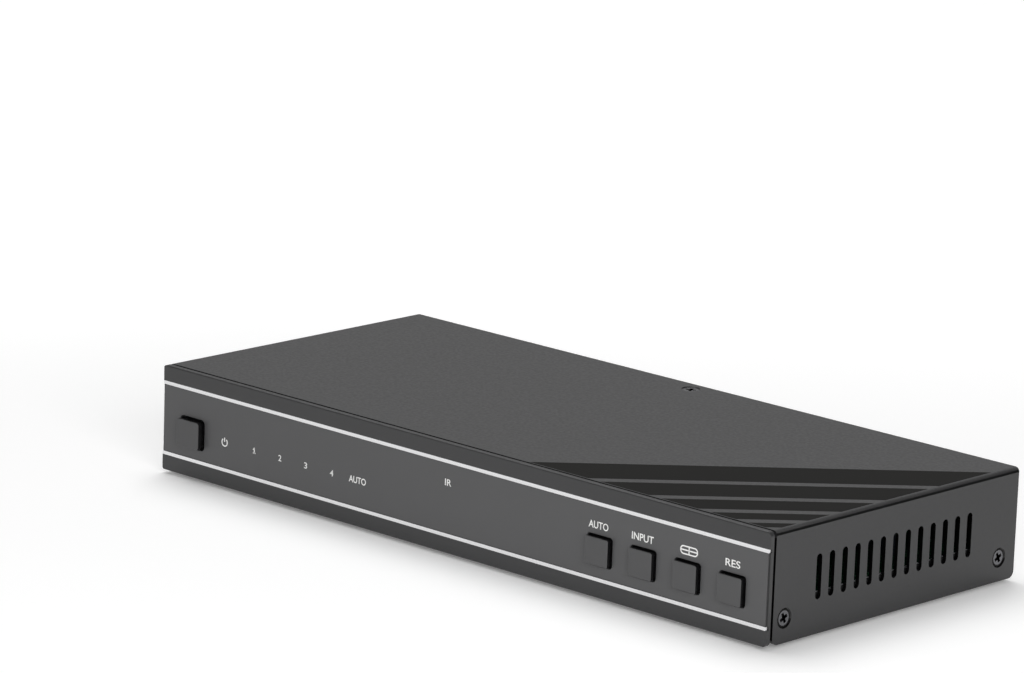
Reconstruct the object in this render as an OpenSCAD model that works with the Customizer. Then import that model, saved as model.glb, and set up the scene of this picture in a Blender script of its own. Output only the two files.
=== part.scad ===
// A four-way video switch box: a folded steel cover on a steel tray, a moulded front panel with
// push buttons and back-lit indicators, and two circuit boards inside with the sockets at the rear.
// Lengths are in millimetres. +Z is up, the front panel faces -Y and the sockets face +Y.
// The origin lies on the table under the middle of the box.

/* [Case] */
// Width over the sides of the cover
case_w = 221; // [210:1:260]
// Depth from the face of the front panel to the rear edge of the cover
case_d = 99.2; // [95:0.1:140]
// Height without the feet
case_h = 29.8; // [29:0.1:45]
// Thickness of the steel sheet of the cover and the tray
sheet_t = 1; // [0.8:0.1:1.2]
// Inside radius of the bends in the sheet
bend_in_r = 0.3; // [0.2:0.1:1]
// Radius on the lower corners of the cover's sides
cover_corner_r = 2; // [1:0.1:4]
// Room between the cover and what it closes over
cover_room = 0.2; // [0.1:0.05:0.4]
// Height of the tray's side flanges
flange_h = 10.5; // [9.5:0.1:14]
// Relief left at both ends of a side flange
flange_relief = 0.5; // [0.3:0.1:1]
// Step from the rear edge of the cover in to the rear wall
rear_step = 0.4; // [0.2:0.1:1]
// Width of the rear wall's lug under the cover
lug_w = 16; // [12:0.5:30]
// Length of that lug from the rear wall
lug_l = 9; // [8:0.5:14]

/* [Feet] */
// Diameter of a foot where it is stuck on
foot_d = 12; // [8:0.5:16]
// Narrowing of a foot towards the table
foot_taper = 1; // [0:0.25:2]
// Height of a foot
foot_h = 1; // [0.8:0.1:4]
// Distance of a foot's centre from the sides, the front and the rear
foot_inset = 20; // [18:0.5:30]

/* [Vents] */
// Number of slots in each side
slot_count = 13; // [3:1:14]
// Distance between the slots
slot_pitch = 5; // [4:0.05:5.2]
// Width of a slot
slot_w = 2.1; // [1:0.1:3]
// Length of a slot over its round ends
slot_l = 11.9; // [6:0.1:14]
// Distance of the first slot from the face of the front panel
slot_first = 19.4; // [18:0.1:23]
// Height of the slots' middle above the underside of the case
slot_z = 15; // [13:0.1:17]

/* [Case screws] */
// Thread of the countersunk case screws
case_screw_d = 3; // [2.5:0.1:3.2]
// Diameter of a countersink at the face of the sheet
sink_d = 5.4; // [5:0.1:6.5]
// Length of the screws in the sides and the roof
cover_screw_l = 4.5; // [3.5:0.1:5]
// Length of the screws that hold the front panel
panel_screw_l = 5.5; // [4.5:0.1:5.8]
// Depth of a screw's head below the face of the sheet
head_drop = 0.25; // [0.05:0.01:0.3]
// Room around a screw's head in its countersink
head_room = 0.12; // [0.05:0.01:0.15]
// Distance of the front side screws from the face of the front panel
side_screw_front = 6.8; // [6.5:0.1:12]
// Distance of the rear side screws from the rear edge of the cover
side_screw_rear = 6.6; // [5.5:0.1:12]
// Height of the side screws above the underside of the case
side_screw_z = 6.5; // [5:0.1:7]
// Distance of the roof screw from the rear edge of the cover
roof_screw_rear = 4.7; // [4.5:0.1:6]

/* [Board screws] */
// Thread of the main board's screws
board_screw_d = 3; // [2.5:0.1:3.2]
// Diameter of their heads
board_head_d = 5.5; // [5:0.1:6]
// Height of their heads
board_head_h = 2; // [1.4:0.1:2.4]
// Length of their threads
board_screw_l = 6; // [4:0.1:6.5]
// Thread of the front board's screws
front_screw_d = 2.5; // [2:0.1:2.6]
// Diameter of their heads
front_head_d = 4.5; // [4:0.1:5]
// Height of their heads
front_head_h = 1.6; // [1.2:0.1:2]
// Length of their threads
front_screw_l = 6; // [4:0.1:6.5]
// Room around a thread in its tapped hole
thread_room = 0.05; // [0.03:0.01:0.1]
// Room around a thread in a plain hole
pass_room = 0.2; // [0.1:0.05:0.3]
// Length of a head's cross recess
cross_l = 2.8; // [2:0.1:3.2]
// Width of the arms of that recess
cross_w = 0.9; // [0.5:0.05:1]
// Depth of that recess
cross_depth = 0.7; // [0.5:0.05:1]
// Turn of that recess
cross_turn = 25; // [0:5:45]

/* [Front panel] */
// Thickness of the panel
panel_t = 1.6; // [1.5:0.1:2.5]
// Shadow gap between the panel and the cover
panel_gap = 0.85; // [0.4:0.05:1.2]
// Step from the roof down to the panel's upper edge
panel_drop = 0; // [0:0.05:0.5]
// Radius of the panel's corners, seen from the front
panel_corner_r = 1.3; // [1:0.1:3]
// Radius of the panel's front edges
panel_edge_r = 0.4; // [0.2:0.1:0.8]
// Distance from the underside and the roof of the case to the bright trim
trim_inset = 4.4; // [3:0.1:6]
// Width of the bright trim
trim_w = 1; // [0.6:0.1:1.6]
// Depth of the trim in the panel
trim_t = 0.9; // [0.8:0.1:1]
// Distance from the panel's ends to the ends of the trim
trim_end = 0.3; // [0.2:0.1:2]
// Room around the trim in its groove
trim_room = 0.02; // [0.01:0.01:0.05]
// Depth of the channel between the trims
channel_depth = 0.5; // [0.4:0.1:0.7]
// Thickness of the overlay film in the channel
film_t = 0.4; // [0.2:0.1:0.4]
// Distance from the panel's ends to the ends of the film
film_end = 0.5; // [0.3:0.1:2]
// Room around the film and its windows
film_room = 0.1; // [0.05:0.05:0.2]
// Length of the panel's tongues behind its back
tongue_l = 4.2; // [3:0.1:5]
// Thickness of the tongues
tongue_t = 1.5; // [1:0.1:2.5]
// Distance from the panel's ends to the ends of the tongues
tongue_end = 6; // [5:0.5:12]

/* [Panel bosses and posts] */
// Diameter of the bosses that take the tray's screws
boss_d = 6; // [5:0.1:6]
// Height of those bosses above the tray
boss_h = 5.5; // [5:0.1:5.8]
// Distance of the bosses' middle from the panel's back
boss_set = 4.4; // [4:0.1:4.7]
// Distance of the outer bosses from the panel's ends
boss_end = 14; // [12:0.5:18]
// Distance of the inner bosses from the middle
boss_mid = 34; // [32:0.5:40]
// Diameter of the posts that carry the front board
post_d = 5; // [4.4:0.1:5.4]
// Depth of the tapped hole in a post
post_hole = 5.5; // [5:0.1:6]
// Distance of the outer posts from the panel's ends
post_end = 16.5; // [15:0.5:20]
// Distance of the inner posts from the middle
post_mid = 26; // [20:0.5:28]
// Height of the upper posts above the underside of the case
post_high = 20.8; // [20.4:0.1:21.5]
// Height of the lower posts above the underside of the case
post_low = 7; // [6.6:0.1:8]

/* [Buttons] */
// Height of the buttons and indicators above the underside of the case
control_z = 12.6; // [12.2:0.1:13.2]
// Width of the power button
power_w = 8.7; // [7:0.1:10]
// Height of the power button
power_h = 7.7; // [6:0.1:8]
// Corner radius of the power button
power_corner_r = 0.8; // [0.5:0.1:2]
// Distance that the power button stands out of the panel
power_proud = 1.8; // [1.2:0.1:3]
// Room around the power button in its window
power_room = 0.5; // [0.3:0.05:0.6]
// Distance of the power button from the panel's left end
power_end = 11.9; // [11:0.1:14]
// Width of a selector button
key_w = 8; // [6:0.1:9]
// Height of a selector button
key_h = 7.4; // [6:0.1:8]
// Corner radius of a selector button
key_corner_r = 0.5; // [0.5:0.1:2]
// Distance that a selector button stands out of the panel
key_proud = 1.3; // [0.8:0.1:2.5]
// Room around a selector button in its window
key_room = 0.4; // [0.3:0.05:0.5]
// Distance between the selector buttons
key_pitch = 15; // [12:0.1:17]
// Distance of the last selector button from the panel's right end
key_end = 11.8; // [10:0.1:13]
// Radius of a button's front edges
key_edge_r = 0.25; // [0.2:0.05:0.6]
// Travel of a button when it is pressed
travel = 0.5; // [0.2:0.05:0.8]
// Width of the lip that keeps a button in the panel
lip_w = 0.8; // [0.6:0.1:1]
// Thickness of that lip
lip_t = 1; // [0.8:0.1:1.5]
// Room between the lip and the panel's back
lip_room = 0.3; // [0.2:0.05:0.4]
// Length of a button's stem behind the lip
stem_l = 2.4; // [2:0.1:3.2]
// Diameter of a button's stem
stem_d = 4; // [3:0.1:5]

/* [Switches] */
// Side of a push switch's square housing
switch_w = 6; // [5.5:0.1:7]
// Height of the housing on its board
switch_t = 3.5; // [3.2:0.1:4.3]
// Diameter of a switch's plunger
plunger_d = 3.4; // [2.5:0.1:3.6]
// Length of the plunger inside the housing at rest
plunger_in = 1.2; // [1:0.1:1.5]
// Room around and behind the plunger
plunger_room = 0.2; // [0.15:0.05:0.3]
// Room left between a pressed button and its switch
press_room = 0.3; // [0.2:0.05:0.5]

/* [Indicators] */
// Number of input indicators, with the automatic mode's as the last
input_leds = 5; // [2:1:5]
// Distance of the power indicator from the panel's left end
power_led_end = 24.9; // [22:0.1:26]
// Distance of the first input indicator from the panel's left end
led_end = 36.7; // [34:0.1:38]
// Distance between the input indicators
led_pitch = 10; // [8:0.1:10.5]
// Width of a light-emitting diode
led_w = 3.5; // [2:0.1:4]
// Height of a light-emitting diode
led_h = 2.8; // [1.6:0.1:3]
// Thickness of a light-emitting diode
led_t = 1.9; // [1:0.1:2.5]
// Diameter of a light guide
guide_d = 3; // [2:0.1:4]
// Room around a light guide in the panel
guide_room = 0.1; // [0.05:0.05:0.2]
// Room between a light guide and its diode
guide_gap = 0.2; // [0.1:0.05:0.4]
// Width of the remote receiver's body
receiver_w = 6; // [5:0.1:7]
// Height of the remote receiver's body
receiver_h = 7; // [6:0.1:7.5]
// Thickness of the remote receiver's body
receiver_t = 4; // [3.5:0.1:4.2]
// Radius of the receiver's lens
lens_r = 2.3; // [1.8:0.1:2.5]
// Diameter of the receiver's window in the panel
receiver_window_d = 6; // [5:0.1:8]

/* [Boards] */
// Thickness of both circuit boards
board_t = 1.6; // [1.2:0.1:2]
// Distance of the front board's ends from the panel's ends
front_board_end = 6; // [6:0.5:9]
// Height of the front board's lower edge above the underside of the case
front_board_low = 4.2; // [3:0.1:4.4]
// Height of the front board
front_board_h = 19.3; // [19:0.1:22]
// Distance of the main board's ends from the sides of the case
main_board_end = 10.5; // [8:0.5:14]
// Distance of the main board's front edge from the face of the front panel
main_board_front = 30; // [24:0.5:32]
// Room between the main board and the rear wall
main_board_room = 1; // [0.5:0.1:2]
// Height of the stand-offs above the tray
standoff_h = 5; // [4:0.1:6]
// Width of a stand-off across its corners
standoff_d = 5.8; // [5:0.1:6.4]
// Diameter of a stand-off's shank in the tray
standoff_shank_d = 4.2; // [3.9:0.1:4.6]
// Room around that shank
shank_room = 0.02; // [0.01:0.01:0.05]
// Distance of the front stand-offs from the ends of the main board
standoff_end = 8; // [5:0.5:10]
// Distance of the front stand-offs from the front edge of the main board
standoff_front = 6; // [4:0.5:8]
// Distance of the rear stand-offs from the rear edge of the main board
standoff_rear = 9.6; // [6:0.1:12]

/* [Ribbon cable] */
// Width of the ribbon cable
ribbon_w = 12.7; // [8:0.1:20]
// Thickness of the ribbon cable
ribbon_t = 0.9; // [0.5:0.1:1.2]
// Outside radius of the ribbon's bend
ribbon_bend_r = 4; // [3:0.1:5]
// Distance of the ribbon's middle to the right of the case's middle
ribbon_x = 12; // [-10:0.5:15]
// Height of the ribbon's run above the underside of the case
ribbon_z = 19; // [18.8:0.1:20]
// Distance of the ribbon's socket from the front edge of the main board
ribbon_in = 6; // [5:0.5:10]
// Extra width of a ribbon socket beyond the ribbon
socket_over = 4; // [3:0.5:8]
// Thickness of a ribbon socket across the ribbon
socket_t = 5; // [4:0.1:6]
// Height of a ribbon socket on its board
socket_h = 6; // [5:0.1:6.5]

/* [Processor] */
// Side of the processor's package
chip_w = 23; // [15:0.5:30]
// Height of the processor's package
chip_h = 1.9; // [1:0.1:3]
// Distance of the processor to the left of the case's middle
chip_left = 10; // [0:0.5:30]
// Distance of the processor from the front edge of the main board
chip_in = 30; // [26:0.5:34]
// Thickness of the thermal pad
pad_t = 0.5; // [0.3:0.1:1]
// Side of the heat sink
sink_w = 34; // [30:0.5:38]
// Thickness of the heat sink's base
sink_base_t = 2; // [1.5:0.1:3]
// Height of the heat sink's fins
fin_h = 8; // [4:0.1:12]
// Number of fins
fin_count = 9; // [4:1:12]
// Thickness of a fin
fin_t = 1; // [0.6:0.1:1.5]

/* [Power supply parts] */
// Diameter of a capacitor
cap_d = 8; // [6:0.1:8.5]
// Height of a capacitor
cap_h = 11.5; // [8:0.1:16]
// Depth of the crimp round a capacitor
cap_crimp = 0.4; // [0.2:0.05:0.6]
// Height of that crimp above the board
cap_crimp_z = 2; // [1.5:0.1:3]
// Number of capacitors
cap_count = 3; // [1:1:3]
// Distance between the capacitors
cap_pitch = 10; // [9:0.5:12]
// Distance of the first capacitor from the right end of the main board
cap_end = 10; // [8:0.5:14]
// Distance of the power parts from the rear edge of the main board
supply_in = 24; // [22:0.5:28]
// Side of the choke
choke_w = 12; // [8:0.5:13]
// Height of the choke
choke_h = 6; // [4:0.1:8]
// Corner radius of the choke
choke_corner_r = 2; // [1:0.1:3]
// Distance of the choke from the right end of the main board
choke_end = 44; // [42:0.5:50]

/* [Video sockets] */
// Clear width of a video socket's mouth
video_w = 14; // [13:0.1:15]
// Clear height of a video socket's mouth
video_h = 4.6; // [4.4:0.1:5]
// Leg of the chamfers on its lower corners
video_chamfer = 1.9; // [1:0.1:2.2]
// Wall of a video socket's shell
shell_t = 0.35; // [0.25:0.05:0.5]
// Length of a video socket
video_l = 12; // [11:0.1:14]
// Distance that a video socket stands out of the rear edge of the cover
video_proud = 0.6; // [0.2:0.1:1.5]
// Length of the insulator at the inner end of the shell
insulator_l = 4.5; // [3:0.1:5]
// Room around the insulator in the shell
insulator_room = 0.03; // [0.02:0.01:0.06]
// Width of the insulator's tongue
blade_w = 11.3; // [10:0.1:11.8]
// Thickness of the insulator's tongue
blade_t = 1.2; // [0.8:0.1:1.5]
// Distance of the tongue's end inside the mouth
blade_in = 1.2; // [0.8:0.1:2]
// Room around a socket in the rear wall
port_room = 0.3; // [0.2:0.05:0.6]

/* [Power inlet and audio socket] */
// Width of the power inlet's housing
inlet_w = 9; // [8.5:0.1:11]
// Height of the power inlet's housing
inlet_h = 11; // [10:0.1:13]
// Outside diameter of the power inlet's nose
inlet_d = 8; // [7.6:0.1:8.4]
// Bore of the power inlet
inlet_bore_d = 6.3; // [5.6:0.1:6.6]
// Depth of that bore
inlet_depth = 9.5; // [8:0.1:11]
// Diameter of the power inlet's contact pin
inlet_pin_d = 2; // [1.6:0.1:2.5]
// Distance of the pin's end inside the mouth
inlet_pin_in = 0.8; // [0.5:0.1:2]
// Distance of the power inlet from the right side of the case
inlet_end = 18.5; // [17:0.5:20]
// Width of the audio socket's housing
audio_w = 7; // [6.6:0.1:9]
// Height of the audio socket's housing
audio_h = 6.4; // [6.2:0.1:8]
// Outside diameter of the audio socket's nose
audio_d = 6; // [5:0.1:6.2]
// Bore of the audio socket
audio_bore_d = 3.6; // [3.5:0.1:4]
// Depth of that bore
audio_depth = 14; // [12:0.1:15]
// Distance of the audio socket from the left side of the case
audio_end = 38.5; // [36:0.5:42]
// Distance that both noses stand out of the rear edge of the cover
nose_proud = 1.8; // [1:0.1:3]
// Wall behind both bores
nose_back_t = 2; // [1.5:0.1:3]

/* [Hidden] */
$fn = 48;
KEYS = ["auto", "input", "view", "resolution"];
INPUTS = ["input_1", "input_2", "input_3", "input_4"];

// Overshoot of a cut past the face that it opens
over = 1;
// Depth by which a post, a boss, a nose or a bend is rooted in what carries it
root = 0.5;
half_w = case_w / 2;
bend_r = bend_in_r + sheet_t;
// The case's own frame starts at the face of the front panel and at the underside of the tray
case_y = -(case_d + nose_proud - power_proud) / 2;
cover_y = panel_t + panel_gap;
roof_z = case_h - sheet_t - cover_room;
tray_half = half_w - sheet_t - cover_room;
floor_half = tray_half - bend_r;
wall_y = case_d - rear_step - sheet_t;
wall_bend_y = wall_y - bend_in_r;
flange_y = cover_y + flange_relief;
flange_l = wall_y - flange_relief - flange_y;
side_screw_ys = [side_screw_front, case_d - side_screw_rear];
roof_screw_y = case_d - roof_screw_rear;
panel_h = case_h - panel_drop;
channel_low = trim_inset + trim_w;
channel_h = case_h - 2 * channel_low;
boss_y = panel_t + boss_set;
boss_xs = [for (s = [-1, 1], x = [half_w - boss_end, boss_mid]) s * x];
// Where a button's lip, its stem and its switch stand behind the panel
lip_y = panel_t + lip_room;
stem_y = lip_y + lip_t;
plunger_y = stem_y + stem_l;
switch_y = plunger_y + travel + press_room;
front_board_y = switch_y + switch_t;
front_board_back = front_board_y + board_t;
front_board_half = half_w - front_board_end;
power_x = power_end - half_w;
key_xs = [for (i = [0 : len(KEYS) - 1]) half_w - key_end - (len(KEYS) - 1 - i) * key_pitch];
led_xs = concat(
    [power_led_end - half_w],
    [for (i = [0 : input_leds - 1]) led_end - half_w + i * led_pitch]
);
posts = concat(
    [for (s = [-1, 1], x = [half_w - post_end, post_mid]) [s * x, post_high]],
    [for (s = [-1, 1]) [s * post_mid, post_low]]
);
// The main board lies on its stand-offs, and its upper face is the deck
main_board_z = sheet_t + standoff_h;
deck_z = main_board_z + board_t;
main_half = half_w - main_board_end;
main_rear = wall_y - main_board_room;
inlet_x = half_w - inlet_end;
audio_x = audio_end - half_w;
// The inputs and the output are spread evenly between the power inlet and the audio socket
socket_step = (inlet_x - audio_x) / (len(INPUTS) + 2);
input_xs = [for (i = [1 : len(INPUTS)]) inlet_x - i * socket_step];
output_x = audio_x + socket_step;
video_xs = concat(input_xs, [output_x]);
video_y = case_d + video_proud - video_l;
video_z = deck_z + shell_t;
nose_y = case_d + nose_proud;
inlet_z = deck_z + inlet_h / 2;
audio_z = deck_z + audio_h / 2;
// The rear stand-offs stand between the sockets
standoffs = concat(
    [for (s = [-1, 1]) [s * (main_half - standoff_end), main_board_front + standoff_front]],
    [for (x = [inlet_x + input_xs[0], output_x + audio_x]) [x / 2, main_rear - standoff_rear]]
);
chip_y = main_board_front + chip_in;
chip_top = deck_z + chip_h;
fin_pitch = (sink_w - fin_t) / (fin_count - 1);
supply_y = main_rear - supply_in;
socket_w = ribbon_w + socket_over;
socket_y = main_board_front + ribbon_in;
ribbon_y = front_board_back + socket_h;
ribbon_turn_y = socket_y + ribbon_t / 2 - ribbon_bend_r;
ribbon_turn_z = ribbon_z + ribbon_t / 2 - ribbon_bend_r;

// Puts a piece drawn in the case's own frame into its place
module in_case() {
    translate([0, case_y, foot_h]) children();
}

// Extrudes an outline of x and z backwards from y
module backwards(y, l) {
    translate([0, y + l, 0]) rotate([90, 0, 0]) linear_extrude(l) children();
}

// Extrudes an outline of y and z to the right from x
module rightwards(x, l) {
    translate([x, 0, 0]) rotate([90, 0, 90]) linear_extrude(l) children();
}

// Block from z = 0, centred in x and y
module block(w, d, h) {
    linear_extrude(h) square([w, d], center = true);
}

// Rectangle with round corners, centred
module round_rect(w, h, r) {
    square([w - 2 * r, h], center = true);
    square([w, h - 2 * r], center = true);
    for (sx = [-1, 1], sy = [-1, 1]) {
        translate([sx * (w / 2 - r), sy * (h / 2 - r)]) circle(r);
    }
}

// Rectangle that stands on y = 0, centred in x, with its two upper corners rounded
module arch_outline(w, h, r) {
    translate([-w / 2, 0]) square([w, h - r]);
    translate([r - w / 2, 0]) square([w - 2 * r, h]);
    for (s = [-1, 1]) {
        translate([s * (w / 2 - r), h - r]) circle(r);
    }
}

// Upright slot with round ends, centred
module slot_outline() {
    square([slot_w, slot_l - slot_w], center = true);
    for (s = [-1, 1]) {
        translate([0, s * (slot_l - slot_w) / 2]) circle(d = slot_w);
    }
}

// Quarter ring of a bend in the quadrant of +x and +y, rooted in the sheet at both of its ends
module bend_outline(r, t) {
    intersection() {
        difference() {
            circle(r);
            circle(r - t);
        }
        square(r);
    }
    translate([r - t, -root]) square([t, root]);
    translate([-root, r - t]) square([root, t]);
}

// What rounding takes off a corner at the origin
module corner_cut(r) {
    difference() {
        translate([-over, -over]) square(r + over);
        translate([r, r]) circle(r);
    }
}

// Outline of a plate seen from its end, with its two front edges rounded
module plate_profile(h, t, r) {
    translate([r, -h / 2]) square([t - r, h]);
    translate([0, r - h / 2]) square([t, h - 2 * r]);
    for (s = [-1, 1]) {
        translate([r, s * (h / 2 - r)]) circle(r);
    }
}

// Plate with round corners and soft front edges, centred in x and z, with its face at y = 0
module soft_plate(w, h, t, corner_r, edge_r) {
    intersection() {
        backwards(0, t) round_rect(w, h, corner_r);
        rightwards(-w / 2, w) plate_profile(h, t, edge_r);
        translate([0, 0, -h / 2]) linear_extrude(h) mirror([1, -1]) plate_profile(w, t, edge_r);
    }
}

// Mouth of a video socket, its floor at y = 0, grown by the given wall
module video_outline(grow) {
    side = video_w / 2 + grow;
    leg = video_chamfer + grow * (2 - sqrt(2));
    top = video_h + grow;
    polygon([
        [-side, top], [side, top], [side, leg - grow],
        [side - leg, -grow], [leg - side, -grow], [-side, leg - grow]
    ]);
}

// Windows of the five buttons, seen from the front, widened all round
module button_windows(extra) {
    power = power_room + extra;
    key = key_room + extra;
    translate([power_x, control_z])
        round_rect(power_w + 2 * power, power_h + 2 * power, power_corner_r + power);
    for (x = key_xs) {
        translate([x, control_z]) round_rect(key_w + 2 * key, key_h + 2 * key, key_corner_r + key);
    }
}

// Cross recess of a screw, cut down from z = 0
module cross_recess() {
    for (turn = [0, 90]) {
        rotate(cross_turn + turn) translate([0, 0, -cross_depth])
            block(cross_l, cross_w, cross_depth + over);
    }
}

// Countersunk hole through the sheet, down from its face at z = 0
module sink_hole() {
    low_d = sink_d - 2 * sheet_t;
    translate([0, 0, -sheet_t]) cylinder(h = sheet_t + over, d1 = low_d, d2 = sink_d + 2 * over);
    translate([0, 0, -sheet_t - over]) cylinder(h = sheet_t + over, d = low_d);
}

// Tapped hole for a case screw, down from the face of the sheet at z = 0
module thread_hole(l) {
    translate([0, 0, -l]) cylinder(h = l, d = case_screw_d + 2 * thread_room);
}

// Countersunk screw that hangs down from the face of the sheet at z = 0
module sink_screw(l) {
    low_d = sink_d - 2 * (sheet_t + head_room);
    high_d = sink_d - 2 * (head_drop + head_room);
    difference() {
        union() {
            translate([0, 0, -sheet_t]) cylinder(h = sheet_t - head_drop, d1 = low_d, d2 = high_d);
            translate([0, 0, -l]) cylinder(h = l - sheet_t, d = case_screw_d);
        }
        translate([0, 0, -head_drop]) cross_recess();
    }
}

// Pan-headed screw that hangs down from a face at z = 0
module pan_screw(d, l, head_d, head_h) {
    difference() {
        union() {
            translate([0, 0, -l]) cylinder(h = l, d = d);
            cylinder(h = head_h / 2, d = head_d);
            translate([0, 0, head_h / 2]) cylinder(h = head_h / 2, d1 = head_d, d2 = head_d - head_h);
        }
        translate([0, 0, head_h]) cross_recess();
    }
}

// Sets a screw or its hole at each of the cover's side screws, facing outwards
module at_side_screws() {
    for (s = [-1, 1], y = side_screw_ys) {
        translate([s * half_w, y, side_screw_z]) rotate([0, s * 90, 0]) children();
    }
}

// Sets a screw or its hole at the cover's roof screw, facing up
module at_roof_screw() {
    translate([0, roof_screw_y, case_h]) children();
}

// Sets a screw or its hole at each screw of the front panel, facing down
module at_panel_screws() {
    for (x = boss_xs) {
        translate([x, boss_y, 0]) rotate([180, 0, 0]) children();
    }
}

// Sets a screw or its hole at each post of the front board, facing backwards from y
module at_posts(y) {
    for (p = posts) {
        translate([p[0], y, p[1]]) rotate([-90, 0, 0]) children();
    }
}

// Sets a piece or its hole at each stand-off of the main board, at height z
module at_standoffs(z) {
    for (p = standoffs) {
        translate([p[0], p[1], z]) children();
    }
}

module top_cover() {
    color("#4a4a4c") in_case() difference() {
        backwards(cover_y, case_d - cover_y) cover_outline();
        rightwards(-half_w - over, case_w + 2 * over) cover_side_cuts();
        at_side_screws() sink_hole();
        at_roof_screw() sink_hole();
    }
}

// Roof, two bends and two sides of the cover, seen from the front
module cover_outline() {
    difference() {
        arch_outline(case_w, case_h, bend_r);
        translate([0, -over]) arch_outline(case_w - 2 * sheet_t, case_h - sheet_t + over, bend_in_r);
    }
}

// Slots and rounded lower corners of the cover's sides, seen from the right
module cover_side_cuts() {
    for (i = [0 : slot_count - 1]) {
        translate([slot_first + i * slot_pitch, slot_z]) slot_outline();
    }
    translate([cover_y, 0]) corner_cut(cover_corner_r);
    translate([case_d, 0]) mirror([1, 0]) corner_cut(cover_corner_r);
}

module chassis_tray() {
    color("#77787a") in_case() difference() {
        union() {
            rightwards(-floor_half, 2 * floor_half) tray_floor_outline();
            backwards(wall_y, sheet_t) tray_wall_outline();
            backwards(flange_y, flange_l) for (s = [0, 1]) mirror([s, 0]) tray_flange_outline();
            rightwards(-lug_w / 2, lug_w) tray_lug_outline();
        }
        at_side_screws() thread_hole(cover_screw_l);
        at_roof_screw() thread_hole(cover_screw_l);
        at_panel_screws() sink_hole();
        at_standoffs(-over) cylinder(h = sheet_t + 2 * over, d = standoff_shank_d + 2 * shank_room);
    }
}

// Floor of the tray and its bend up into the rear wall, seen from the right
module tray_floor_outline() {
    translate([cover_y, 0]) square([wall_bend_y - cover_y, sheet_t]);
    translate([wall_bend_y, bend_r]) mirror([0, 1]) bend_outline(bend_r, sheet_t);
}

// Rear wall with its socket openings and the notch that the lug folds out of
module tray_wall_outline() {
    difference() {
        translate([-tray_half, bend_r]) square([2 * tray_half, roof_z - bend_r]);
        translate([-lug_w / 2 - flange_relief, roof_z - bend_r])
            square([lug_w + 2 * flange_relief, bend_r + over]);
        for (x = video_xs) {
            translate([x, video_z]) video_outline(shell_t + port_room);
        }
        translate([inlet_x, inlet_z]) circle(d = inlet_d + 2 * port_room);
        translate([audio_x, audio_z]) circle(d = audio_d + 2 * port_room);
    }
}

// Right side flange and its bend down into the floor
module tray_flange_outline() {
    translate([tray_half - sheet_t, bend_r]) square([sheet_t, flange_h - bend_r]);
    translate([floor_half, bend_r]) mirror([0, 1]) bend_outline(bend_r, sheet_t);
}

// Lug that the rear wall folds forward under the roof, seen from the right
module tray_lug_outline() {
    translate([wall_y - lug_l, roof_z - sheet_t]) square([wall_bend_y - wall_y + lug_l, sheet_t]);
    translate([wall_bend_y, roof_z - bend_r]) bend_outline(bend_r, sheet_t);
}

module rubber_feet() {
    color("#1d1d1e") for (s = [-1, 1], y = [foot_inset, case_d - foot_inset]) {
        translate([s * (half_w - foot_inset), case_y + y, 0])
            cylinder(h = foot_h, d1 = foot_d - 2 * foot_taper, d2 = foot_d);
    }
}

module cover_side_screws() {
    color("#2b2b2c") in_case() at_side_screws() sink_screw(cover_screw_l);
}

module cover_roof_screw() {
    color("#2b2b2c") in_case() at_roof_screw() sink_screw(cover_screw_l);
}

module front_panel() {
    color("#39393b") in_case() difference() {
        union() {
            translate([0, 0, panel_h / 2])
                soft_plate(case_w, panel_h, panel_t, panel_corner_r, panel_edge_r);
            rightwards(tongue_end - half_w, case_w - 2 * tongue_end) panel_tongue_outline();
            backwards(panel_t - root, front_board_y - panel_t + root) {
                for (p = posts) translate(p) circle(d = post_d);
            }
            for (x = boss_xs) translate([x, 0, sheet_t]) panel_boss();
        }
        rightwards(-half_w - over, case_w + 2 * over) panel_groove_outline();
        backwards(-over, panel_t + 2 * over) panel_window_outline();
        at_panel_screws() thread_hole(panel_screw_l + pass_room);
        at_posts(front_board_y) translate([0, 0, -post_hole])
            cylinder(h = post_hole + over, d = front_screw_d + 2 * thread_room);
    }
}

// Tongues that reach back under the roof and over the tray's floor, seen from the right
module panel_tongue_outline() {
    for (z = [sheet_t, roof_z - tongue_t]) {
        translate([panel_t - root, z]) square([tongue_l + root, tongue_t]);
    }
}

// Boss that takes a screw of the tray, standing on the tray's floor
module panel_boss() {
    translate([0, boss_y, 0]) cylinder(h = boss_h, d = boss_d);
    translate([0, (panel_t - root + boss_y) / 2, 0]) block(boss_d, boss_set + root, boss_h);
}

// Channel of the film and the two grooves of the trim, seen from the right
module panel_groove_outline() {
    translate([-over, channel_low]) square([channel_depth + over, channel_h]);
    for (z = [trim_inset, case_h - channel_low]) {
        translate([-over, z]) square([trim_t + over, trim_w]);
    }
}

// Windows of the buttons, the light guides and the remote receiver, seen from the front
module panel_window_outline() {
    button_windows(0);
    for (x = led_xs) {
        translate([x, control_z]) circle(d = guide_d + 2 * guide_room);
    }
    translate([0, control_z]) circle(d = receiver_window_d);
}

module front_overlay() {
    color("#48484a") in_case() backwards(channel_depth - film_t, film_t) difference() {
        translate([0, case_h / 2])
            square([case_w - 2 * film_end, channel_h - 2 * film_room], center = true);
        button_windows(film_room);
    }
}

// Bright strip of trim whose groove starts at height z
module trim_strip(z) {
    color("#e4e4e4") in_case() translate([0, trim_t / 2, z + trim_room])
        block(case_w - 2 * trim_end, trim_t, trim_w - 2 * trim_room);
}

module upper_trim_strip() {
    trim_strip(case_h - channel_low);
}

module lower_trim_strip() {
    trim_strip(trim_inset);
}

module panel_screws() {
    color("#2b2b2c") in_case() at_panel_screws() sink_screw(panel_screw_l);
}

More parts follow.
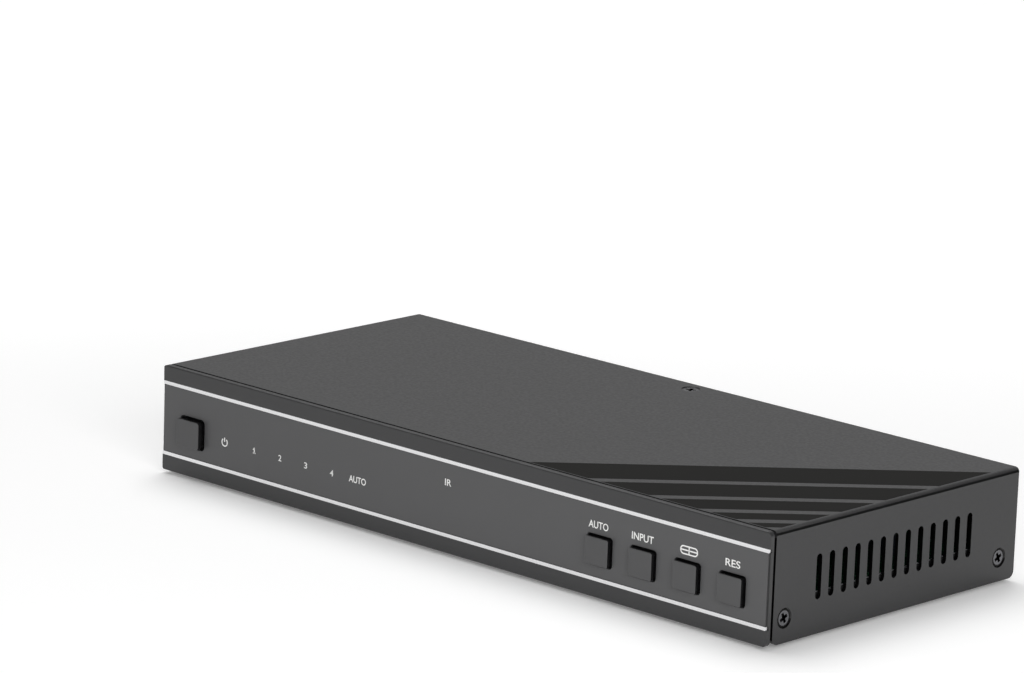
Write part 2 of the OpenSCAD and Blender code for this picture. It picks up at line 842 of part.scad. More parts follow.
// Button with the lip that keeps it in the panel and the stem that presses its switch
module button(x, w, h, corner_r, proud) {
    color("#3f3f41") in_case() translate([x, 0, control_z]) {
        translate([0, -proud, 0]) soft_plate(w, h, proud + stem_y, corner_r, key_edge_r);
        backwards(lip_y, lip_t) round_rect(w + 2 * lip_w, h + 2 * lip_w, corner_r);
        backwards(stem_y, stem_l) circle(d = stem_d);
    }
}

// Plunger of the push switch behind a button
module plunger(x) {
    color("#1f1f20") in_case() translate([x, 0, control_z])
        backwards(plunger_y, switch_y - plunger_y + plunger_in) circle(d = plunger_d);
}

// Housing of the push switch behind a button
module switch_housing(x) {
    depth = plunger_in + travel + plunger_room;
    color("#2a2a2b") in_case() translate([x, 0, control_z]) difference() {
        backwards(switch_y, switch_t) square(switch_w, center = true);
        backwards(switch_y - over, depth + over) circle(d = plunger_d + 2 * plunger_room);
    }
}

module power_button() {
    button(power_x, power_w, power_h, power_corner_r, power_proud);
}

module power_plunger() {
    plunger(power_x);
}

module power_switch() {
    switch_housing(power_x);
}

module key_button(i) {
    button(key_xs[i], key_w, key_h, key_corner_r, key_proud);
}

module key_plunger(i) {
    plunger(key_xs[i]);
}

module key_switch(i) {
    switch_housing(key_xs[i]);
}

module front_board() {
    color("#1f4d33") in_case() backwards(front_board_y, board_t) difference() {
        translate([-front_board_half, front_board_low]) square([2 * front_board_half, front_board_h]);
        for (p = posts) translate(p) circle(d = front_screw_d + 2 * pass_room);
    }
}

module front_board_screws() {
    color("#b9bbbd") in_case() at_posts(front_board_back)
        pan_screw(front_screw_d, front_screw_l, front_head_d, front_head_h);
}

module indicator_leds() {
    color("#f3efdc") in_case() backwards(front_board_y - led_t, led_t) {
        for (x = led_xs) translate([x, control_z]) square([led_w, led_h], center = true);
    }
}

module light_guides() {
    color("#eef3f5") in_case()
        backwards(channel_depth, front_board_y - led_t - guide_gap - channel_depth) {
            for (x = led_xs) translate([x, control_z]) circle(d = guide_d);
        }
}

module remote_receiver() {
    color("#1a1a1c") in_case() translate([0, 0, control_z]) {
        backwards(front_board_y - receiver_t, receiver_t) square([receiver_w, receiver_h], center = true);
        translate([0, front_board_y - receiver_t, 0]) sphere(lens_r);
    }
}

module front_ribbon_socket() {
    color("#d8d2c2") in_case() translate([ribbon_x, 0, ribbon_z])
        backwards(front_board_back, socket_h) square([socket_w, socket_t], center = true);
}

module ribbon_cable() {
    drop_z = deck_z + socket_h;
    color("#a9abae") in_case() rightwards(ribbon_x - ribbon_w / 2, ribbon_w) {
        translate([ribbon_y, ribbon_z - ribbon_t / 2]) square([ribbon_turn_y - ribbon_y, ribbon_t]);
        translate([ribbon_turn_y, ribbon_turn_z]) bend_outline(ribbon_bend_r, ribbon_t);
        translate([socket_y - ribbon_t / 2, drop_z]) square([ribbon_t, ribbon_turn_z - drop_z]);
    }
}

module main_ribbon_socket() {
    color("#d8d2c2") in_case() translate([ribbon_x, socket_y, deck_z]) block(socket_w, socket_t, socket_h);
}

module main_board() {
    color("#1f4d33") in_case() difference() {
        translate([0, (main_board_front + main_rear) / 2, main_board_z])
            block(2 * main_half, main_rear - main_board_front, board_t);
        at_standoffs(main_board_z - over) cylinder(h = board_t + 2 * over, d = board_screw_d + 2 * pass_room);
    }
}

module board_standoffs() {
    color("#c3a455") in_case() at_standoffs(0) difference() {
        union() {
            cylinder(h = sheet_t, d = standoff_shank_d);
            translate([0, 0, sheet_t]) cylinder(h = standoff_h, d = standoff_d, $fn = 6);
        }
        translate([0, 0, -over])
            cylinder(h = main_board_z + 2 * over, d = board_screw_d + 2 * thread_room);
    }
}

module board_screws() {
    color("#b9bbbd") in_case() at_standoffs(deck_z)
        pan_screw(board_screw_d, board_screw_l, board_head_d, board_head_h);
}

module main_processor() {
    color("#232325") in_case() translate([-chip_left, chip_y, deck_z]) block(chip_w, chip_w, chip_h);
}

module thermal_pad() {
    color("#8f9aa8") in_case() translate([-chip_left, chip_y, chip_top]) block(chip_w, chip_w, pad_t);
}

module heat_sink() {
    color("#b4b7ba") in_case() translate([-chip_left, chip_y, chip_top + pad_t]) {
        block(sink_w, sink_w, sink_base_t);
        for (i = [0 : fin_count - 1]) {
            translate([(fin_t - sink_w) / 2 + i * fin_pitch, 0, 0]) block(fin_t, sink_w, sink_base_t + fin_h);
        }
    }
}

module capacitors() {
    color("#30343c") in_case() for (i = [0 : cap_count - 1]) {
        translate([main_half - cap_end - i * cap_pitch, supply_y, deck_z]) difference() {
            cylinder(h = cap_h, d = cap_d);
            rotate_extrude() translate([cap_d / 2, cap_crimp_z]) circle(cap_crimp);
        }
    }
}

module power_choke() {
    color("#3a3a3c") in_case() translate([main_half - choke_end, supply_y, deck_z])
        linear_extrude(choke_h) round_rect(choke_w, choke_w, choke_corner_r);
}

// Folded metal shell of a video socket, closed at its inner end
module video_shell(x) {
    color("#c6c8ca") in_case() translate([x, 0, video_z]) difference() {
        backwards(video_y, video_l) video_outline(shell_t);
        backwards(video_y + shell_t, video_l) video_outline(0);
    }
}

module input_shell(i) {
    video_shell(input_xs[i]);
}

module output_shell() {
    video_shell(output_x);
}

module socket_insulators() {
    base_y = video_y + shell_t;
    blade_y = base_y + insulator_l - root;
    color("#1b1b1c") in_case() for (x = video_xs) translate([x, 0, video_z]) {
        backwards(base_y, insulator_l) video_outline(-insulator_room);
        translate([0, 0, video_h / 2])
            backwards(blade_y, case_d + video_proud - blade_in - blade_y)
                square([blade_w, blade_t], center = true);
    }
}

// Moulded socket on the deck: a housing and a round nose through the rear wall, with a blind bore
module nose_socket(x, w, h, nose_d, bore_d, depth) {
    housing_y = nose_y - depth - nose_back_t;
    housing_end = wall_y - port_room;
    translate([x, 0, deck_z + h / 2]) difference() {
        union() {
            backwards(housing_y, housing_end - housing_y) square([w, h], center = true);
            backwards(housing_end - root, nose_y - housing_end + root) circle(d = nose_d);
        }
        backwards(nose_y - depth, depth + over) circle(d = bore_d);
    }
}

module power_inlet() {
    color("#222223") in_case() nose_socket(inlet_x, inlet_w, inlet_h, inlet_d, inlet_bore_d, inlet_depth);
}

module power_inlet_pin() {
    color("#d0d1d2") in_case() translate([inlet_x, 0, inlet_z])
        backwards(nose_y - inlet_depth, inlet_depth - inlet_pin_in) circle(d = inlet_pin_d);
}

module audio_socket() {
    color("#222223") in_case() nose_socket(audio_x, audio_w, audio_h, audio_d, audio_bore_d, audio_depth);
}

top_cover();
chassis_tray();
rubber_feet();
cover_side_screws();
cover_roof_screw();
front_panel();
front_overlay();
upper_trim_strip();
lower_trim_strip();
panel_screws();
power_button();
power_plunger();
power_switch();
for (i = [0 : len(KEYS) - 1]) {
    key_button(i);
    key_plunger(i);
    key_switch(i);
}
front_board();
front_board_screws();
indicator_leds();
light_guides();
remote_receiver();
front_ribbon_socket();
ribbon_cable();
main_ribbon_socket();
main_board();
board_standoffs();
board_screws();
main_processor();
thermal_pad();
heat_sink();
capacitors();
power_choke();
for (i = [0 : len(INPUTS) - 1]) {
    input_shell(i);
}
output_shell();
socket_insulators();
power_inlet();
power_inlet_pin();
audio_socket();
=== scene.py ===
import logging
import math
from dataclasses import dataclass, field
from enum import Enum

import bpy
import numpy as np
from mathutils import Matrix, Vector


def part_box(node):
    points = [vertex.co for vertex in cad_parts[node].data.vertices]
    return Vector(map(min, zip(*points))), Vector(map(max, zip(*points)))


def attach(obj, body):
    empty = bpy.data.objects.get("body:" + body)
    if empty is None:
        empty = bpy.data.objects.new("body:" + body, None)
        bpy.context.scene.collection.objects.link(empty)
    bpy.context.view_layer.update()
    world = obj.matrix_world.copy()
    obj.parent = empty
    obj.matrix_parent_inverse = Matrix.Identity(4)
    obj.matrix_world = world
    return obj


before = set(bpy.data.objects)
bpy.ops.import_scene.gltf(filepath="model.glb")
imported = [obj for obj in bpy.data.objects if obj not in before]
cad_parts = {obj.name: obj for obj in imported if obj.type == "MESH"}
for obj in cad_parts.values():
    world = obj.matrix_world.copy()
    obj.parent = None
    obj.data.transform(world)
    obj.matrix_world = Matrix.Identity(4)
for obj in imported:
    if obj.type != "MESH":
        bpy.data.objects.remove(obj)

MM = 0.001
WHITE = (1.0, 1.0, 1.0, 1.0)
BLACK = (0.0, 0.0, 0.0, 1.0)
# Octaves and falloff of the fine noise, octaves of the slow one, and the span that most noise lies in
GRAIN_DETAIL, GRAIN_FALLOFF = 3.0, 0.55
MOTTLE_DETAIL = 2.0
NOISE_SPAN = (0.3, 0.7)
# Blender's wave texture turns by this many radians per unit of length at a scale of 1
WAVE_RATE = 20.0
# A mitred corner reaches at most this many half widths from its path
MITRE_LIMIT = 2.0
LOG = logging.getLogger("switch_box")
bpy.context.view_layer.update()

Colour = tuple[float, float, float, float]
Vec3 = tuple[float, float, float]
Tree = bpy.types.NodeTree
Socket = bpy.types.NodeSocket


def linear(colour: str, gain: float = 1.0) -> Colour:
    """Turns an sRGB hex colour into a linear one by the sRGB curve.

    Args:
        colour: sRGB colour such as "#1b1b1c".
        gain: factor on the linear value.

    Returns:
        Linear red, green, blue and an alpha of 1.
    """
    parts = np.array([int(colour[i:i + 2], 16) for i in (1, 3, 5)]) / 255.0
    parts = np.where(parts <= 0.04045, parts / 12.92, ((parts + 0.055) / 1.055) ** 2.4) * gain
    return (*(float(part) for part in parts), 1.0)


def add_node(tree: Tree, kind: str, inputs: dict | None = None, output: str | None = None,
             **settings: object) -> Socket | None:
    """Adds a node, gives it its settings, and sets or links its inputs.

    Args:
        tree: node tree that takes the node.
        kind: Blender's name for the node's type.
        inputs: socket identifier to a constant, or to the output socket that feeds it.
        output: name of the output wanted; the first one in use if left out.
        settings: properties of the node.

    Returns:
        The node's output socket, or None for an output node.
    """
    node = tree.nodes.new(kind)
    for key, value in settings.items():
        setattr(node, key, value)
    sockets = {socket.identifier: socket for socket in node.inputs}
    for key, value in (inputs or {}).items():
        if isinstance(value, Socket):
            tree.links.new(value, sockets[key])
        else:
            sockets[key].default_value = value
    if output:
        return node.outputs[output]
    return next((socket for socket in node.outputs if socket.enabled), None)


def inside(tree: Tree, *tests: tuple[Socket, str, float]) -> Socket:
    """A mask that is 1 where all tests hold and 0 elsewhere: the product of the comparisons.

    Args:
        tree: node tree that takes the nodes.
        tests: a value, Blender's name for a comparison and its limit, for each test.

    Returns:
        The mask.
    """
    held = [add_node(tree, "ShaderNodeMath", {"Value": value, "Value_001": limit}, operation=comparison)
            for value, comparison, limit in tests]
    mask = held[0]
    for factor in held[1:]:
        mask = add_node(tree, "ShaderNodeMath", {"Value": mask, "Value_001": factor}, operation="MULTIPLY")
    return mask


@dataclass(frozen=True)
class Ground:
    """What a finish is drawn on: its node tree, the place on the piece in metres and the fine noise."""

    tree: Tree
    place: Socket
    grain: Socket


@dataclass(frozen=True)
class Finish:
    """A finish with a fine grain, a slow mottle of its colour and an uneven gloss.

    Patterned finishes override tint, gloss or relief.
    """

    name: str
    colour: str
    roughness: float
    metallic: float = 0.0
    grain_mm: float = 0.6
    relief_mm: float = 0.004
    mottle: float = 0.08
    mottle_mm: float = 18.0
    spread: float = 0.05
    stretch: Vec3 = (1.0, 1.0, 1.0)

    def material(self) -> bpy.types.Material:
        """Builds the finish as a node-based material.

        Returns:
            The new material.
        """
        made = bpy.data.materials.new(self.name)
        made.use_nodes = True
        tree = made.node_tree
        tree.nodes.clear()
        place = add_node(tree, "ShaderNodeTexCoord", output="Object")
        ground = Ground(tree, place, self.grain(tree, place))
        surface = add_node(tree, "ShaderNodeBsdfPrincipled", {
            "Base Color": self.tint(ground), "Roughness": self.gloss(ground), "Normal": self.relief(ground),
            "Metallic": self.metallic, **self.extras()})
        add_node(tree, "ShaderNodeOutputMaterial", {"Surface": surface})
        return made

    def extras(self) -> dict[str, object]:
        """Further constants of the shader, such as transmission."""
        return {}

    def grain(self, tree: Tree, place: Socket) -> Socket:
        """Noise whose cells are grain_mm across, drawn out by stretch.

        Args:
            tree: node tree of the material.
            place: object coordinates in metres.

        Returns:
            The noise, from 0 to 1.
        """
        drawn = add_node(tree, "ShaderNodeMapping", {"Vector": place, "Scale": self.stretch})
        return add_node(tree, "ShaderNodeTexNoise", {
            "Vector": drawn, "Scale": 1.0 / (self.grain_mm * MM), "Detail": GRAIN_DETAIL,
            "Roughness": GRAIN_FALLOFF})

    def tint(self, ground: Ground) -> Socket:
        """Base colour that drifts darker and lighter with the mean of the grain and a noise over mottle_mm.

        Args:
            ground: what the finish is drawn on.

        Returns:
            The colour.
        """
        slow = add_node(ground.tree, "ShaderNodeTexNoise", {
            "Vector": ground.place, "Scale": 1.0 / (self.mottle_mm * MM), "Detail": MOTTLE_DETAIL})
        mixed = add_node(ground.tree, "ShaderNodeMath", {"Value": slow, "Value_001": ground.grain},
                         operation="ADD")
        mean = add_node(ground.tree, "ShaderNodeMath", {"Value": mixed, "Value_001": 0.5},
                        operation="MULTIPLY")
        return add_node(ground.tree, "ShaderNodeMix", {
            "Factor_Float": mean,
            "A_Color": linear(self.colour, 1.0 - self.mottle),
            "B_Color": linear(self.colour, 1.0 + self.mottle)}, data_type="RGBA")

    def gloss(self, ground: Ground) -> Socket:
        """Roughness that follows the grain by plus or minus spread.

        Args:
            ground: what the finish is drawn on.

        Returns:
            The roughness.
        """
        low, high = NOISE_SPAN
        return add_node(ground.tree, "ShaderNodeMapRange", {
            "Value": ground.grain, "From Min": low, "From Max": high,
            "To Min": self.roughness - self.spread, "To Max": self.roughness + self.spread})

    def relief(self, ground: Ground) -> Socket:
        """Normal bumped by the grain, relief_mm deep.

        Args:
            ground: what the finish is drawn on.

        Returns:
            The normal.
        """
        return add_node(ground.tree, "ShaderNodeBump", {
            "Height": ground.grain, "Distance": self.relief_mm * MM, "Strength": 1.0})


@dataclass(frozen=True)
class StripedCoat(Finish):
    """Powder coat on a folded cover, with matt stripes printed across one corner of the roof.

    The stripes run side by side along the bearing stripe_deg and lie at growing distances from a start point.
    Their ink is duller and darker than the coat, so they show where the coat catches the surroundings. The
    walls of the slots and countersinks are painted near black: painted shade in these hollows. The folds
    look pressed tight: their normals are lifted so that their upper parts lie in line with the roof, and
    their lower parts carry a thin near-black line of painted shade.
    """

    ink: str = "#0b0a07"
    ink_roughness: float = 1.0
    # painted shade: the near-black colour of the walls of the slots and countersinks
    punched_shade: str = "#040404"
    punched_roughness: float = 0.2
    # painted shade: the near-black colour of the thin line along the lower part of the folds
    fold_shade: str = "#040404"
    fold_rise: tuple[float, float] = (0.02, 0.45)
    fold_lifts: tuple[float, float] = (0.7, 8.0)
    fold_x_mm: float = 109.0
    sides_top_mm: float = 29.0
    side_share: float = 0.9
    start_mm: tuple[float, float] = (26.0, -46.4)
    stripe_deg: float = 46.0
    reach_mm: float = 64.0
    edges_mm: tuple[float, ...] = (15.0, 18.0, 30.0, 33.0, 42.0, 45.0, 51.0, 54.0, 58.0)
    roof_mm: float = 30.75
    edge_x_mm: float = 109.1
    edge_y_mm: float = -46.8

    def stripes(self, ground: Ground) -> Socket:
        """1 on a stripe and 0 elsewhere: steps of the distance from the start, on the flat of the roof only.

        Args:
            ground: what the finish is drawn on.

        Returns:
            The mask.
        """
        tree = ground.tree
        turn = math.radians(self.stripe_deg)
        across = (math.sin(turn), -math.cos(turn), 0.0)
        first = (across[0] * self.start_mm[0] + across[1] * self.start_mm[1]) * MM
        along = add_node(tree, "ShaderNodeVectorMath", {"Vector": ground.place, "Vector_001": across},
                         "Value", operation="DOT_PRODUCT")
        share = add_node(tree, "ShaderNodeMapRange", {
            "Value": along, "From Min": first, "From Max": first + self.reach_mm * MM})
        ramp = add_node(tree, "ShaderNodeValToRGB", {"Fac": share}, "Color")
        stops = ramp.node.color_ramp
        stops.interpolation = "CONSTANT"
        stops.elements[0].color = WHITE
        stops.elements[1].position = self.edges_mm[0] / self.reach_mm
        stops.elements[1].color = BLACK
        for index, edge in enumerate(self.edges_mm[1:]):
            stops.elements.new(edge / self.reach_mm).color = BLACK if index % 2 else WHITE
        axes = add_node(tree, "ShaderNodeSeparateXYZ", {"Vector": ground.place}).node.outputs
        corner = inside(tree, (along, "GREATER_THAN", first), (axes["Z"], "GREATER_THAN", self.roof_mm * MM),
                        (axes["X"], "LESS_THAN", self.edge_x_mm * MM),
                        (axes["Y"], "GREATER_THAN", self.edge_y_mm * MM))
        return add_node(tree, "ShaderNodeMath", {"Value": corner, "Value_001": ramp}, operation="MULTIPLY")

    def walls(self, ground: Ground) -> Socket:
        """1 on the walls of holes in the sides, which take painted shade: below the folds and turned off the
        x axis.

        Args:
            ground: what the finish is drawn on.

        Returns:
            The mask.
        """
        tree = ground.tree
        facing = add_node(tree, "ShaderNodeNewGeometry", output="True Normal")
        size = add_node(tree, "ShaderNodeVectorMath", {"Vector": facing}, operation="ABSOLUTE")
        across = add_node(tree, "ShaderNodeSeparateXYZ", {"Vector": size}, "X")
        height = add_node(tree, "ShaderNodeSeparateXYZ", {"Vector": ground.place}, "Z")
        return inside(tree, (across, "LESS_THAN", self.side_share),
                      (height, "LESS_THAN", self.sides_top_mm * MM))

    def folds(self, ground: Ground) -> tuple[Socket, Socket]:
        """1 on the lower or upper part of the folds: the rise of the normal is within fold_rise or above it.

        Args:
            ground: what the finish is drawn on.

        Returns:
            The masks of the lower and the upper part.
        """
        tree = ground.tree
        low, high = self.fold_rise
        facing = add_node(tree, "ShaderNodeNewGeometry", output="Normal")
        rise = add_node(tree, "ShaderNodeSeparateXYZ", {"Vector": facing}, "Z")
        out = add_node(tree, "ShaderNodeVectorMath", {"Vector": ground.place}, operation="ABSOLUTE")
        axes = add_node(tree, "ShaderNodeSeparateXYZ", {"Vector": out}).node.outputs
        bent = ((axes["X"], "GREATER_THAN", self.fold_x_mm * MM),
                (axes["Z"], "GREATER_THAN", self.sides_top_mm * MM))
        lower = inside(tree, (rise, "GREATER_THAN", low), (rise, "LESS_THAN", high), *bent)
        return lower, inside(tree, (rise, "GREATER_THAN", high), *bent)

    def tint(self, ground: Ground) -> Socket:
        """The coat's colour with the ink's on the stripes, and near-black painted shade on the folds' lower
        lines and holes.

        Args:
            ground: what the finish is drawn on.

        Returns:
            The colour.
        """
        tint = super().tint(ground)
        # painted shade: near black on the folds' lower parts and on the walls of the slots and countersinks
        for mask, colour in ((self.stripes(ground), self.ink), (self.folds(ground)[0], self.fold_shade),
                             (self.walls(ground), self.punched_shade)):
            tint = add_node(ground.tree, "ShaderNodeMix", {
                "Factor_Float": mask, "A_Color": tint, "B_Color": linear(colour)}, data_type="RGBA")
        return tint

    def gloss(self, ground: Ground) -> Socket:
        """The coat's roughness with the ink's on the stripes and the walls' in the holes of the sides.

        Args:
            ground: what the finish is drawn on.

        Returns:
            The roughness.
        """
        gloss = super().gloss(ground)
        for mask, roughness in ((self.stripes(ground), self.ink_roughness),
                                (self.walls(ground), self.punched_roughness)):
            gloss = add_node(ground.tree, "ShaderNodeMix", {
                "Factor_Float": mask, "A_Float": gloss, "B_Float": roughness})
        return gloss

    def relief(self, ground: Ground) -> Socket:
        """Normal bumped by the grain and lifted on the folds: by fold_lifts in z, then at unit length again.

        Args:
            ground: what the finish is drawn on.

        Returns:
            The normal.
        """
        tree = ground.tree
        facing = add_node(tree, "ShaderNodeNewGeometry", output="Normal")
        for mask, lift in zip(self.folds(ground), self.fold_lifts):
            height = add_node(tree, "ShaderNodeMath", {"Value": mask, "Value_001": lift},
                              operation="MULTIPLY")
            rise = add_node(tree, "ShaderNodeCombineXYZ", {"Z": height})
            facing = add_node(tree, "ShaderNodeVectorMath", {"Vector": facing, "Vector_001": rise},
                              operation="ADD")
        pressed = add_node(tree, "ShaderNodeVectorMath", {"Vector": facing}, operation="NORMALIZE")
        return add_node(tree, "ShaderNodeBump", {
            "Height": ground.grain, "Distance": self.relief_mm * MM, "Strength": 1.0, "Normal": pressed})


@dataclass(frozen=True)
class CutSteelCoat(Finish):
    """Powder coat over sheet that was sheared after coating, so its upper cut edges are bare steel."""

    bare: str = "#8f9193"
    edge_mm: float = 11.5
    edge_band_mm: float = 0.06
    up_share: float = 0.5

    def tint(self, ground: Ground) -> Socket:
        """The coat's colour with bare steel on what faces up within edge_band_mm of the flanges' upper edge.

        Args:
            ground: what the finish is drawn on.

        Returns:
            The colour.
        """
        tree = ground.tree
        height = add_node(tree, "ShaderNodeSeparateXYZ", {"Vector": ground.place}, "Z")
        facing = add_node(tree, "ShaderNodeNewGeometry", output="True Normal")
        rise = add_node(tree, "ShaderNodeSeparateXYZ", {"Vector": facing}, "Z")
        bare = inside(tree, (height, "GREATER_THAN", (self.edge_mm - self.edge_band_mm) * MM),
                      (height, "LESS_THAN", (self.edge_mm + self.edge_band_mm) * MM),
                      (rise, "GREATER_THAN", self.up_share))
        return add_node(tree, "ShaderNodeMix", {
            "Factor_Float": bare, "A_Color": super().tint(ground), "B_Color": linear(self.bare)},
            data_type="RGBA")


@dataclass(frozen=True)
class RecessedHead(Finish):
    """Oxide on a countersunk screw: drivers polish the head's face, and all else, the recesses and the cones,
    is painted near black as shade.

    The faces are what lies within face_mm of the case's outside: its sides, its roof and its underside. On
    the sides the polish ends polished_r_mm from the screws' middles, short of the heads' rims, which take the
    painted shade.
    """

    # painted shade: the near-black colour of the recesses and the rims round the heads
    recess_shade: str = "#040404"
    face_mm: float = 0.3
    case_half_mm: tuple[float, float] = (110.5, 14.9)
    case_z_mm: float = 15.9
    polished_r_mm: float = 1.95
    middles_mm: tuple[Vec3, Vec3] = ((0.0, -42.8, 7.5), (0.0, 43.0, 7.5))

    def tint(self, ground: Ground) -> Socket:
        """The polished colour on the faces of the heads and painted shade, near black, everywhere else.

        Args:
            ground: what the finish is drawn on.

        Returns:
            The colour.
        """
        tree = ground.tree
        from_middle = add_node(tree, "ShaderNodeVectorMath", {
            "Vector": ground.place, "Vector_001": (0.0, 0.0, self.case_z_mm * MM)}, operation="SUBTRACT")
        out = add_node(tree, "ShaderNodeVectorMath", {"Vector": from_middle}, operation="ABSOLUTE")
        axes = add_node(tree, "ShaderNodeSeparateXYZ", {"Vector": out}).node.outputs
        flat = add_node(tree, "ShaderNodeVectorMath", {"Vector": ground.place, "Vector_001": (0.0, 1.0, 1.0)},
                        operation="MULTIPLY")
        apart = [add_node(tree, "ShaderNodeVectorMath", {
            "Vector": flat, "Vector_001": tuple(np.array(middle) * MM)}, "Value", operation="DISTANCE")
            for middle in self.middles_mm]
        nearest = add_node(tree, "ShaderNodeMath", {"Value": apart[0], "Value_001": apart[1]},
                           operation="MINIMUM")
        side_x, roof_z = ((half - self.face_mm) * MM for half in self.case_half_mm)
        side = inside(tree, (axes["X"], "GREATER_THAN", side_x),
                      (nearest, "LESS_THAN", self.polished_r_mm * MM))
        roof = inside(tree, (axes["Z"], "GREATER_THAN", roof_z))
        face = add_node(tree, "ShaderNodeMath", {"Value": side, "Value_001": roof}, operation="MAXIMUM")
        # painted shade: near black off the polished faces, in the recesses and round the rims
        return add_node(tree, "ShaderNodeMix", {
            "Factor_Float": face, "A_Color": linear(self.recess_shade), "B_Color": super().tint(ground)},
            data_type="RGBA")


@dataclass(frozen=True)
class CapPlastic(Finish):
    """Moulded cap: its face eroded to a fine texture, its walls polished by the mould and painted near black
    as shade.
    """

    # painted shade: the near-black colour of the caps' walls
    wall_shade: str = "#0c0c0d"
    wall_roughness: float = 0.22
    face_share: float = 0.6

    def face(self, ground: Ground) -> Socket:
        """1 where the surface looks to the front, 0 on the walls.

        Args:
            ground: what the finish is drawn on.

        Returns:
            The mask.
        """
        facing = add_node(ground.tree, "ShaderNodeNewGeometry", output="Normal")
        across = add_node(ground.tree, "ShaderNodeSeparateXYZ", {"Vector": facing}, "Y")
        return inside(ground.tree, (across, "LESS_THAN", -self.face_share))

    def tint(self, ground: Ground) -> Socket:
        """The face's colour in front and the walls' painted shade, near black, behind it.

        Args:
            ground: what the finish is drawn on.

        Returns:
            The colour.
        """
        return add_node(ground.tree, "ShaderNodeMix", {
            "Factor_Float": self.face(ground), "A_Color": linear(self.wall_shade), "B_Color": super().tint(ground)},
            data_type="RGBA")

    def gloss(self, ground: Ground) -> Socket:
        """The face's roughness in front and the polished walls' behind it.

        Args:
            ground: what the finish is drawn on.

        Returns:
            The roughness.
        """
        return add_node(ground.tree, "ShaderNodeMix", {
            "Factor_Float": self.face(ground), "A_Float": self.wall_roughness,
            "B_Float": super().gloss(ground)})


@dataclass(frozen=True)
class BoardMask(Finish):
    """Solder mask over copper: the tracks show as a net of lighter lines, track_share of net_mm wide."""

    track: str = "#2f6b45"
    net_mm: float = 9.6
    track_share: float = 0.03
    row_share: float = 0.25
    patch_gain: float = 0.85

    def tint(self, ground: Ground) -> Socket:
        """The mask's colour with a staggered net of tracks, whose rows are row_share of net_mm high.

        Args:
            ground: what the finish is drawn on.

        Returns:
            The colour.
        """
        return add_node(ground.tree, "ShaderNodeTexBrick", {
            "Vector": ground.place, "Color1": linear(self.colour),
            "Color2": linear(self.colour, self.patch_gain), "Mortar": linear(self.track),
            "Scale": 1.0 / (self.net_mm * MM), "Mortar Size": self.track_share, "Brick Width": 1.0,
            "Row Height": self.row_share}, "Color")


@dataclass(frozen=True)
class RibbonVinyl(Finish):
    """Flat cable: round conductors side by side in vinyl."""

    pitch_mm: float = 1.27
    ridge_mm: float = 0.2

    def relief(self, ground: Ground) -> Socket:
        """Normal of a row of ridges, one per conductor: a sine over pitch_mm.

        Args:
            ground: what the finish is drawn on.

        Returns:
            The normal.
        """
        ridges = add_node(ground.tree, "ShaderNodeTexWave", {
            "Vector": ground.place, "Scale": 2.0 * math.pi / (WAVE_RATE * self.pitch_mm * MM)}, "Fac",
            bands_direction="X")
        return add_node(ground.tree, "ShaderNodeBump", {
            "Height": ridges, "Distance": self.ridge_mm * MM, "Strength": 1.0})


@dataclass(frozen=True)
class SleevedCan(Finish):
    """Capacitor: a shrunk sleeve, open over the bare aluminium top."""

    top: str = "#b8babc"
    top_mm: float = 20.05

    def tint(self, ground: Ground) -> Socket:
        """The sleeve's colour below top_mm and aluminium above it.

        Args:
            ground: what the finish is drawn on.

        Returns:
            The colour.
        """
        height = add_node(ground.tree, "ShaderNodeSeparateXYZ", {"Vector": ground.place}, "Z")
        open_top = inside(ground.tree, (height, "GREATER_THAN", self.top_mm * MM))
        return add_node(ground.tree, "ShaderNodeMix", {
            "Factor_Float": open_top, "A_Color": super().tint(ground), "B_Color": linear(self.top)},
            data_type="RGBA")


@dataclass(frozen=True)
class ClearAcrylic(Finish):
    """Clear moulded acrylic."""

    ior: float = 1.49

    def extras(self) -> dict[str, object]:
        """Full transmission at acrylic's index."""
        return {"Transmission Weight": 1.0, "IOR": self.ior}


